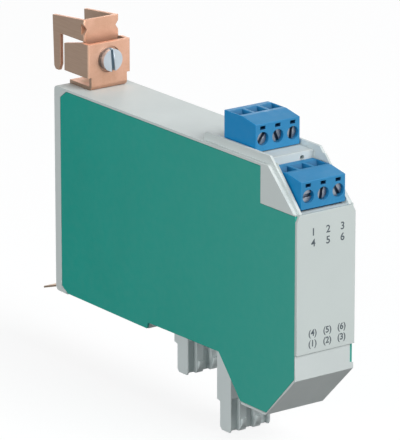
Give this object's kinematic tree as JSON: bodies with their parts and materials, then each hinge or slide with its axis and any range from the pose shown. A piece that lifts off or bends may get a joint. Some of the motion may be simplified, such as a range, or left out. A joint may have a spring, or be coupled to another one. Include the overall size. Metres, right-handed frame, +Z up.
{
  "type": "surge protection barrier",
  "caption": "Slim surge protection barrier with screw terminals on a stepped tower, plugs under its belly and a copper earthing clamp at the rear top.",
  "frame": {"origin": "middle of the flat underside that seats on the host module", "axes": "X across the slim width, +Y from the front face to the rear, +Z up from the host module"},
  "size_m": [0.02, 0.1283, 0.1035],
  "materials": {
    "frame_grey": "fine satin",
    "cover_green": "fine satin",
    "front_grey": "fine satin",
    "terminal_blue": "moulded",
    "tinned_contact": "tinned",
    "plated_screw": "zinc plated",
    "cage_brass": "plain",
    "plug_grey": "moulded",
    "board_green": "lacquered laminate",
    "tube_ceramic": "glazed with metal ends",
    "diode_black": "moulded",
    "resistor_tan": "lacquered",
    "copper_sheet": "rolled and folded copper",
    "rivet_brass": "plain"
  },
  "bodies": {
    "housing": {"housing_frame": "frame_grey", "side_cover_left": "cover_green", "side_cover_right": "cover_green", "front_cover": "front_grey", "terminal_block_upper": "terminal_blue", "terminal_block_lower": "terminal_blue", "terminal_contacts_upper": "tinned_contact", "terminal_contacts_lower": "tinned_contact", "plug_body_front": "plug_grey", "plug_body_rear": "plug_grey", "plug_contacts_front": "tinned_contact", "plug_contacts_rear": "tinned_contact", "circuit_board": "board_green", "discharge_tubes": "tube_ceramic", "suppressor_diodes": "diode_black", "decoupling_resistors": "resistor_tan", "earth_clamp_box": "copper_sheet", "earth_strip": "copper_sheet", "earth_rivets": "rivet_brass"},
    "screw_1": {"terminal_screw_1": "plated_screw"},
    "cage_1": {"clamp_cage_1": "cage_brass"},
    "screw_2": {"terminal_screw_2": "plated_screw"},
    "cage_2": {"clamp_cage_2": "cage_brass"},
    "screw_3": {"terminal_screw_3": "plated_screw"},
    "cage_3": {"clamp_cage_3": "cage_brass"},
    "screw_4": {"terminal_screw_4": "plated_screw"},
    "cage_4": {"clamp_cage_4": "cage_brass"},
    "screw_5": {"terminal_screw_5": "plated_screw"},
    "cage_5": {"clamp_cage_5": "cage_brass"},
    "screw_6": {"terminal_screw_6": "plated_screw"},
    "cage_6": {"clamp_cage_6": "cage_brass"},
    "clamp_screw": {"earth_clamp_screw": "plated_screw"},
    "rail_clip": {"earth_rail_clip": "copper_sheet"}
  },
  "joints": [
    {"name": "screw_1_turn", "type": "hinge", "parent": "housing", "child": "screw_1", "pos_m": [-0.00508, -0.06825, 0.06645], "axis": [0, 1, 0], "range_deg": [0, 1440]},
    {"name": "cage_1_slide", "type": "slide", "parent": "housing", "child": "cage_1", "axis": [0, -1, 0], "range_m": [0, 0.0018]},
    {"name": "screw_2_turn", "type": "hinge", "parent": "housing", "child": "screw_2", "pos_m": [0, -0.06825, 0.06645], "axis": [0, 1, 0], "range_deg": [0, 1440]},
    {"name": "cage_2_slide", "type": "slide", "parent": "housing", "child": "cage_2", "axis": [0, -1, 0], "range_m": [0, 0.0018]},
    {"name": "screw_3_turn", "type": "hinge", "parent": "housing", "child": "screw_3", "pos_m": [0.00508, -0.06825, 0.06645], "axis": [0, 1, 0], "range_deg": [0, 1440]},
    {"name": "cage_3_slide", "type": "slide", "parent": "housing", "child": "cage_3", "axis": [0, -1, 0], "range_m": [0, 0.0018]},
    {"name": "screw_4_turn", "type": "hinge", "parent": "housing", "child": "screw_4", "pos_m": [-0.00508, -0.08855, 0.05505], "axis": [0, 1, 0], "range_deg": [0, 1440]},
    {"name": "cage_4_slide", "type": "slide", "parent": "housing", "child": "cage_4", "axis": [0, -1, 0], "range_m": [0, 0.0018]},
    {"name": "screw_5_turn", "type": "hinge", "parent": "housing", "child": "screw_5", "pos_m": [0, -0.08855, 0.05505], "axis": [0, 1, 0], "range_deg": [0, 1440]},
    {"name": "cage_5_slide", "type": "slide", "parent": "housing", "child": "cage_5", "axis": [0, -1, 0], "range_m": [0, 0.0018]},
    {"name": "screw_6_turn", "type": "hinge", "parent": "housing", "child": "screw_6", "pos_m": [0.00508, -0.08855, 0.05505], "axis": [0, 1, 0], "range_deg": [0, 1440]},
    {"name": "cage_6_slide", "type": "slide", "parent": "housing", "child": "cage_6", "axis": [0, -1, 0], "range_m": [0, 0.0018]},
    {"name": "clamp_screw_turn", "type": "hinge", "parent": "housing", "child": "clamp_screw", "pos_m": [0.0008, 0.01155, 0.0704], "axis": [0, 1, 0], "range_deg": [0, 1260]},
    {"name": "rail_clip_slide", "type": "slide", "parent": "housing", "child": "rail_clip", "axis": [0, -1, 0], "range_m": [0, 0.00245]}
  ],
  "couplings": [
    {"joint": "screw_1_turn", "follows": "cage_1_slide", "rad_per_m": 13963},
    {"joint": "screw_2_turn", "follows": "cage_2_slide", "rad_per_m": 13963},
    {"joint": "screw_3_turn", "follows": "cage_3_slide", "rad_per_m": 13963},
    {"joint": "screw_4_turn", "follows": "cage_4_slide", "rad_per_m": 13963},
    {"joint": "screw_5_turn", "follows": "cage_5_slide", "rad_per_m": 13963},
    {"joint": "screw_6_turn", "follows": "cage_6_slide", "rad_per_m": 13963},
    {"joint": "clamp_screw_turn", "follows": "rail_clip_slide", "rad_per_m": 8976}
  ]
}
